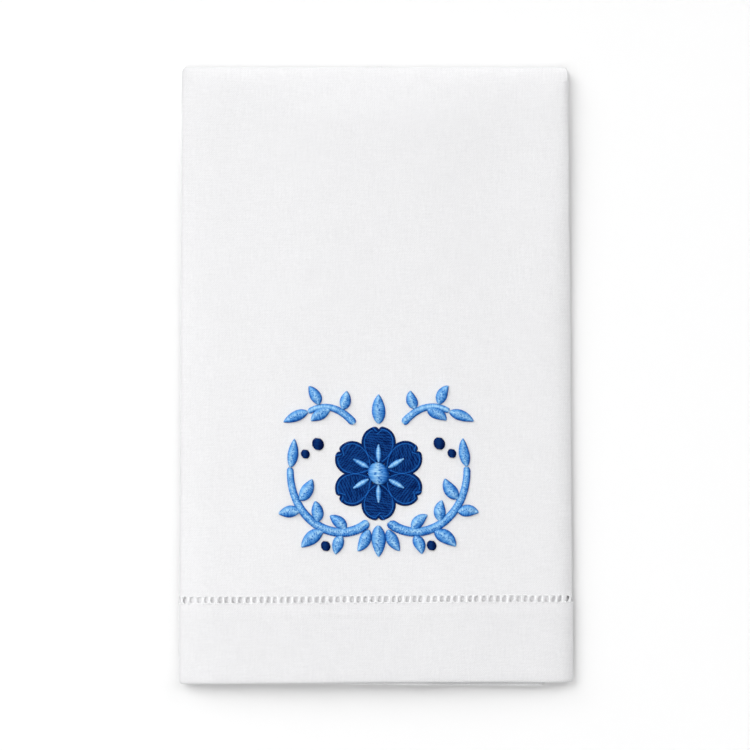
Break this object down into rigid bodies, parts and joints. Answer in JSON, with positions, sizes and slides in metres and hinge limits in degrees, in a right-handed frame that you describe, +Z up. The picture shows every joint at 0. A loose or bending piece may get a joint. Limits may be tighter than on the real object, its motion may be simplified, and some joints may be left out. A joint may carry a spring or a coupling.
{
  "type": "hand towel",
  "caption": "White linen hand towel, its sides folded to the back and then folded in half, with hemstitching above a deep hem and an embroidered ornament in blue",
  "frame": {"origin": "middle of the folded towel's bounding box, on the surface that it lies on", "axes": "X across the towel to its right, Y up the towel to its top fold, Z up from the surface"},
  "size_m": [0.1788, 0.2812, 0.0072],
  "materials": {
    "linen": "matte plain weave"
  },
  "bodies": {
    "root": {"towel": "linen"}
  },
  "joints": []
}
